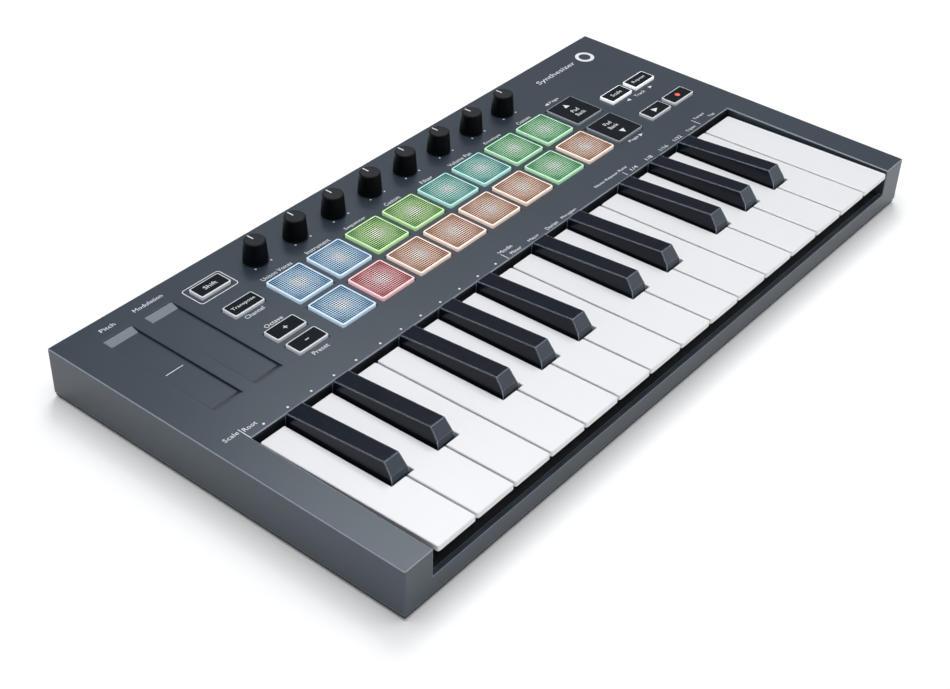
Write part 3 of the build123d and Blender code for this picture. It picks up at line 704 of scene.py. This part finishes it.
for row_index, (row_y, colours) in enumerate(zip(pad_rows, (back_row, front_row))):
    for column, colour in enumerate(colours):
        x, y = pad_first_x + column * pad_pitch, row_y
        label = f"pad_{'back' if row_index == 0 else 'front'}_{column + 1}"
        silicone = glowing_silicone(label + "_lit_silicone", glow_colours[colour], x, y)
        build = bmesh.new()
        edge_ring = cap_shell(build, x, y, pad_size, pad_size, pad_corner, pad_foot, pad_top, pad_edge)
        inner = round_outline(x, y, pad_size - 2 * pad_rim, pad_size - 2 * pad_rim, face_corner)
        lip = [build.verts.new((px, py, pad_top)) for px, py in inner]
        sunk = [build.verts.new((px, py, face_z)) for px, py in inner]
        for i in range(len(lip)):
            j = (i + 1) % len(lip)
            build.faces.new((edge_ring[i], edge_ring[j], lip[j], lip[i]))
            build.faces.new((lip[i], lip[j], sunk[j], sunk[i]))
        build.faces.new(sunk).material_index = 1
        pad = object_from(build, label, rim_silicone[colour], smooth_angle=40)
        pad.data.materials.append(silicone)
        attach(pad, "case")
        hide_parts("pad_mat")
        dot_material = dot_silicone[colour]
        dots_tree = disc_tree(label + "_dot_stamp", dot_material)
        half = (lattice_dots - 1) / 2
        places = [(x + (i - half) * lattice_pitch, y + (j - half) * lattice_pitch, face_z + dot_height / 2)
                  for i in range(lattice_dots) for j in range(lattice_dots)]
        dots = run_tree(places, dots_tree, {"Radius": lattice_radius, "Height": dot_height, "Sides": 8},
                        label + "_dots", dot_material)
        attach(dots, "case")

# ---------------------------------------------------------------- buttons
# Ten push buttons: a translucent grey cap with a black printed top. Lit from below, the
# uncovered rim and the sides glow faintly, or brightly on the two that are on.
cap_grey = lit_cap("grey_cap_plastic", (198, 202, 207), 0.26)
cap_dim = lit_cap("dim_cap_plastic", (138, 144, 151), 0.16)
cap_white = lit_cap("lit_white_cap_plastic", (236, 239, 244), 0.55)
button_print = moulded_plastic("black_button_print", (9, 15, 22), (13, 19, 26), roughness=(0.45, 0.55),
                               grain=0.00015, grain_depth=0.000004, drift=0.01, specular=0.08)
record_red = lit_cap("record_dot_red", (232, 92, 66), 0.35)
caps = {"shift": cap_grey, "transpose": cap_grey, "octave_up": cap_grey, "octave_down": cap_grey,
        "scale": cap_white, "note_repeat": cap_white, "play": cap_grey, "record": cap_grey,
        "page_up": cap_dim, "page_down": cap_dim}
small_cap, large_cap = (15.4 * MM, 7.9 * MM), (18.6 * MM, 18.6 * MM)
bare_rim, print_corner, print_sunk, print_up = 0.6 * MM, 0.5 * MM, 0.02 * MM, 0.05 * MM
sign_arm, sign_half_line = 1.0, 0.19
arrow_base, arrow_tip, arrow_half = 3.6, 6.4, 1.6
word_height, page_word_height = 2.1 * MM, 2.2 * MM
button_words = {"shift": ("Shift", 6.4), "transpose": ("Transpose", 11.6), "scale": ("Scale", 7.0),
                "note_repeat": ("Repeat", 9.4)}
for label, cap in caps.items():
    node = "button_" + label
    finish_node(node, cap)
    low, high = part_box(node)
    cap_x, cap_y = (low.x + high.x) / 2, (low.y + high.y) / 2
    big = label.startswith("page")
    face_w, face_d = large_cap if big else small_cap
    build = bmesh.new()
    prism(build, round_outline(cap_x, cap_y, face_w - 2 * bare_rim, face_d - 2 * bare_rim, print_corner, 3),
          high.z - print_sunk, high.z + print_up)
    plate = object_from(build, node + "_black_print", button_print)
    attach(plate, node)
    icon_low, icon_high = high.z + print_up, high.z + print_up + ink_height
    icon = bmesh.new()
    icon_material = legend_ink
    if label == "octave_up":
        a, b = sign_arm, sign_half_line
        plus = ((-a, -b), (-b, -b), (-b, -a), (b, -a), (b, -b), (a, -b),
                (a, b), (b, b), (b, a), (-b, a), (-b, b), (-a, b))
        prism(icon, [(cap_x + px * MM, cap_y + py * MM) for px, py in plus], icon_low, icon_high)
    elif label == "octave_down":
        prism(icon, box_outline(cap_x, cap_y, 1.9 * MM, 0.42 * MM), icon_low, icon_high)
    elif label == "play":
        prism(icon, [(cap_x + px * MM, cap_y + py * MM)
                     for px, py in ((-1.7, -1.6), (1.6, 0.0), (-1.7, 1.6))], icon_low, icon_high)
    elif label == "record":
        icon_material = record_red
        prism(icon, circle_outline(cap_x, cap_y, 1.25 * MM, 24), icon_low, icon_high)
    elif big:
        way = 1 if label == "page_up" else -1
        prism(icon, [(cap_x + a * way * MM, cap_y + b * way * MM)
                     for a, b in ((-arrow_half, arrow_base), (arrow_half, arrow_base), (0.0, arrow_tip))],
              icon_low, icon_high)
        words_y = -2.0 if way > 0 else 2.2
        for line_y, text, text_width in ((1.7, "Pad", 4.4), (-1.7, "Bank", 6.0)):
            printed_words(f"{node}_{text.lower()}_word",
                          [(text, cap_x, cap_y + (line_y + words_y) * MM, icon_low + ink_height / 2,
                            page_word_height, text_width * MM)], node)
    if icon.faces:
        mark = object_from(icon, node + "_mark", icon_material)
        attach(mark, node)
    else:
        icon.free()
        text, text_width = button_words[label]
        printed_words(node + "_word", [(text, cap_x, cap_y, icon_low + ink_height / 2, word_height,
                                        text_width * MM)], node)

# ---------------------------------------------------------------- knobs
# Eight turned-looking knobs moulded in black ABS with a rubbery finish: a slightly conical
# skirt, a flat dark grey top, and a white line printed from the middle to the rim.
# The knob edges carry a painted highlight in a dark grey.
knob_black = moulded_plastic("black_knob_plastic", (2, 3, 7), (3, 5, 9), roughness=(0.36, 0.46),
                             grain=0.00014, grain_depth=0.000006, drift=0.008, specular=0.12,
                             edge=0.3 * MM, edge_highlight_tint=(62, 67, 74))
knob_top = moulded_plastic("grey_knob_top", (24, 27, 32), (30, 33, 38), roughness=(0.38, 0.5),
                           grain=0.00014, grain_depth=0.000006, drift=0.006, specular=0.18)
disc_radius, disc_sunk, disc_up = 3.95 * MM, 0.02 * MM, 0.04 * MM
pointer_middle, pointer_width, pointer_length = 2.3 * MM, 0.55 * MM, 3.2 * MM
for index in range(1, 9):
    node = f"knob_{index}"
    finish_node(node, knob_black)
    low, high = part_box(node)
    x, y = (low.x + high.x) / 2, (low.y + high.y) / 2
    build = bmesh.new()
    prism(build, circle_outline(x, y, disc_radius, 40), high.z - disc_sunk, high.z + disc_up)
    top = object_from(build, node + "_top_disc", knob_top)
    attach(top, node)
    build = bmesh.new()
    prism(build, box_outline(x, y + pointer_middle, pointer_width, pointer_length),
          high.z + disc_up, high.z + disc_up + ink_height)
    pointer = object_from(build, node + "_pointer", legend_ink)
    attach(pointer, node)

# ---------------------------------------------------------------- touch strips
# Two touch strips, pitch and modulation, set just below the panel: matt grey plastic,
# with a slope at each end and a printed centre line on the pitch strip.
# Painted shade: faces leaning back, such as the slope at the front end, are tinted darker.
strip_plastic = moulded_plastic("touch_strip_plastic", (47, 56, 66), (51, 60, 70), roughness=(0.285, 0.305),
                                grain=0.0002, grain_depth=0.000005, drift=0.04, sheen=(0.86, 0.94, 1.0),
                                slope_shading_tint=(30, 37, 45), slope=(0.2, 0.3))
finish_node("touch_strips", strip_plastic)
line = bmesh.new()
strip_depth = 0.9 * MM
line_x, line_y, line_length, line_width = -142.7 * MM, 43.0 * MM, 8.2 * MM, 0.32 * MM
prism(line, box_outline(line_x, line_y, line_length, line_width),
      panel_z - strip_depth, panel_z - strip_depth + ink_height)
centre_line = object_from(line, "pitch_centre_line", legend_ink)
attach(centre_line, "case")

# ---------------------------------------------------------------- rear sockets
# On the back: a USB socket in a tinned steel shield, a large jack for the pedal and a
# small one for MIDI, both in black plastic. All three are soldered to the control board.
socket_steel = brushed_metal("tinned_socket_steel", (150, 152, 156), (196, 198, 202))
socket_black = moulded_plastic("black_socket_plastic", (16, 16, 18), (24, 24, 26), roughness=(0.35, 0.5))
for node in ("usb_socket", "sustain_jack", "midi_jack"):
    finish_node(node, socket_steel if node == "usb_socket" else socket_black)

# ---------------------------------------------------------------- studio
# The floor is one pale seamless sheet that glows a little more far out. A large soft box
# hangs above, a second one behind to the right gives the sheen, and two weak ones fill
# the front right and the left.
floor_z, floor_reach = cad_box[0][2], 20.0
floor_mesh = bpy.data.meshes.new("floor")
floor_corners = [(across * floor_reach, along * floor_reach, floor_z)
                 for across, along in ((-1, -1), (1, -1), (1, 1), (-1, 1))]
floor_mesh.from_pydata(floor_corners, [], [(0, 1, 2, 3)])
floor = bpy.data.objects.new("floor", floor_mesh)
bpy.context.scene.collection.objects.link(floor)
floor_paper, floor_shader = new_material("white_paper_sweep")
paper_fibre = add_node(floor_paper, "ShaderNodeTexNoise", Scale=6.0, Detail=2.0)
join(floor_paper, object_coordinates(floor_paper), paper_fibre.inputs["Vector"])
paper_tint = add_node(floor_paper, "ShaderNodeValToRGB")
paper_tint.color_ramp.elements[0].color = (0.93, 0.93, 0.93, 1.0)
paper_tint.color_ramp.elements[1].color = (0.95, 0.95, 0.95, 1.0)
join(floor_paper, paper_fibre.outputs["Fac"], paper_tint.inputs["Fac"])
join(floor_paper, paper_tint.outputs["Color"], floor_shader.inputs["Base Color"])
floor_shader.inputs["Emission Color"].default_value = (1.0, 1.0, 1.0, 1.0)
from_middle = add_node(floor_paper, "ShaderNodeVectorMath", operation="LENGTH")
join(floor_paper, object_coordinates(floor_paper), from_middle.inputs[0])
far_glow = add_node(floor_paper, "ShaderNodeMapRange", interpolation_type="SMOOTHSTEP")
far_glow.inputs["From Min"].default_value = 0.45
far_glow.inputs["From Max"].default_value = 2.5
far_glow.inputs["To Min"].default_value = 0.06
far_glow.inputs["To Max"].default_value = 0.95
join(floor_paper, from_middle.outputs["Value"], far_glow.inputs["Value"])
join(floor_paper, far_glow.outputs["Result"], floor_shader.inputs["Emission Strength"])
floor_shader.inputs["Roughness"].default_value = 0.9
floor_shader.inputs["Specular IOR Level"].default_value = 0.1
floor_mesh.materials.append(floor_paper)

world = bpy.data.worlds.new("studio_room")
world.use_nodes = True
room = world.node_tree
room_place = room.nodes.new("ShaderNodeTexCoord")
room_parts = room.nodes.new("ShaderNodeSeparateXYZ")
room_fade = room.nodes.new("ShaderNodeMapRange")
room_fade.inputs["From Min"].default_value = 0.16
room_fade.inputs["From Max"].default_value = 0.25
room_fade.inputs["To Min"].default_value = 0.95
room_fade.inputs["To Max"].default_value = 0.18
room.links.new(room_place.outputs["Generated"], room_parts.inputs["Vector"])
room.links.new(room_parts.outputs["Z"], room_fade.inputs["Value"])
room.links.new(room_fade.outputs["Result"], room.nodes["Background"].inputs["Strength"])
room.nodes["Background"].inputs["Color"].default_value = (1.0, 1.0, 1.0, 1.0)
bpy.context.scene.world = world


def soft_box(name, place, width, depth, power):
    """A rectangular light at a place, aimed at the middle of the keyboard's footprint."""
    light = bpy.data.lights.new(name, "AREA")
    light.shape = "RECTANGLE"
    light.size = width
    light.size_y = depth
    light.energy = power
    light.color = (0.965, 0.982, 1.0)
    lamp = bpy.data.objects.new(name, light)
    bpy.context.scene.collection.objects.link(lamp)
    lamp.location = place
    lamp.rotation_euler = (-Vector(place)).to_track_quat("-Z", "Y").to_euler()


soft_box("overhead_soft_box", (-0.05, 0.0, 1.3), 1.2, 1.2, 13.8)
soft_box("back_right_soft_box", (1.42, 0.98, 2.45), 1.2, 1.2, 26.0)
soft_box("front_right_card", (1.25, -1.45, 0.6), 1.2, 0.8, 4.0)
soft_box("left_fill", (-1.3, 0.4, 0.5), 0.8, 0.6, 0.7)

# The camera looks down over the front left corner with a long lens.
azimuth, elevation, roll = math.radians(-52.02), math.radians(37.78), math.radians(2.025)
target = Vector((-60.78 * MM, -29.09 * MM, 22.4 * MM))
distance = 602.5 * MM
back = Vector((math.sin(azimuth) * math.cos(elevation), -math.cos(azimuth) * math.cos(elevation),
               math.sin(elevation)))
right = Vector((math.cos(azimuth), math.sin(azimuth), 0.0))
up = back.cross(right)
turned_right = right * math.cos(roll) + up * math.sin(roll)
turned_up = up * math.cos(roll) - right * math.sin(roll)
camera = bpy.data.cameras.new("camera")
camera.sensor_width = 36.0
camera.lens = 62.11
camera.clip_start = 0.01
viewpoint = bpy.data.objects.new("camera", camera)
bpy.context.scene.collection.objects.link(viewpoint)
eye = target + back * distance
viewpoint.matrix_world = Matrix(((turned_right.x, turned_up.x, back.x, eye.x),
                                 (turned_right.y, turned_up.y, back.y, eye.y),
                                 (turned_right.z, turned_up.z, back.z, eye.z),
                                 (0.0, 0.0, 0.0, 1.0)))
bpy.context.scene.camera = viewpoint
bpy.context.scene.view_settings.view_transform = "Standard"
